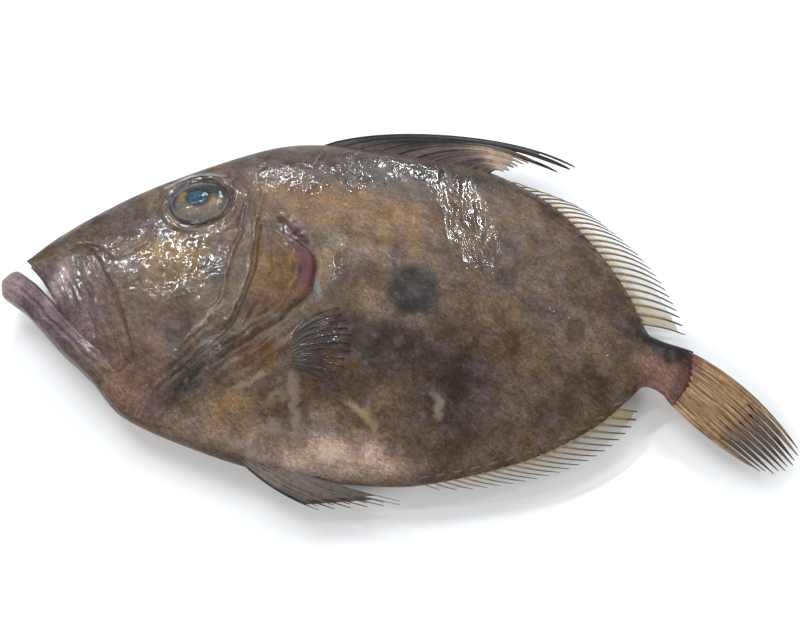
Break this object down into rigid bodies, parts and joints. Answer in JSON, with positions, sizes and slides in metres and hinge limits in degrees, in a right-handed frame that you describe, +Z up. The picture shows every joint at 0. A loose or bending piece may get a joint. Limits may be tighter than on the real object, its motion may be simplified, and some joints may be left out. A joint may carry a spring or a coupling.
{
  "type": "whole raw john dory fish",
  "caption": "Whole raw john dory lying flat on its side: thin deep body, open jutting mouth, folded spiny back fin, spread rear fins and a dark round flank spot.",
  "frame": {"origin": "on the table, at the middle of the flat spot where the right flank rests, under mid-body", "axes": "+X along the body axis from the head to the tail, +Y towards the fish's back, +Z up out of the left flank"},
  "size_m": [0.4448, 0.2278, 0.0441],
  "materials": {
    "fish_skin": "wet raw fish skin without large scales, mottled brown and grey with golden patches, glossy with slime",
    "eye": "wet, clear and glossy, with a golden brown iris and a cloudy blue pupil"
  },
  "bodies": {
    "root": {"fish": "fish_skin", "eye_left": "eye", "eye_right": "eye"}
  },
  "joints": []
}
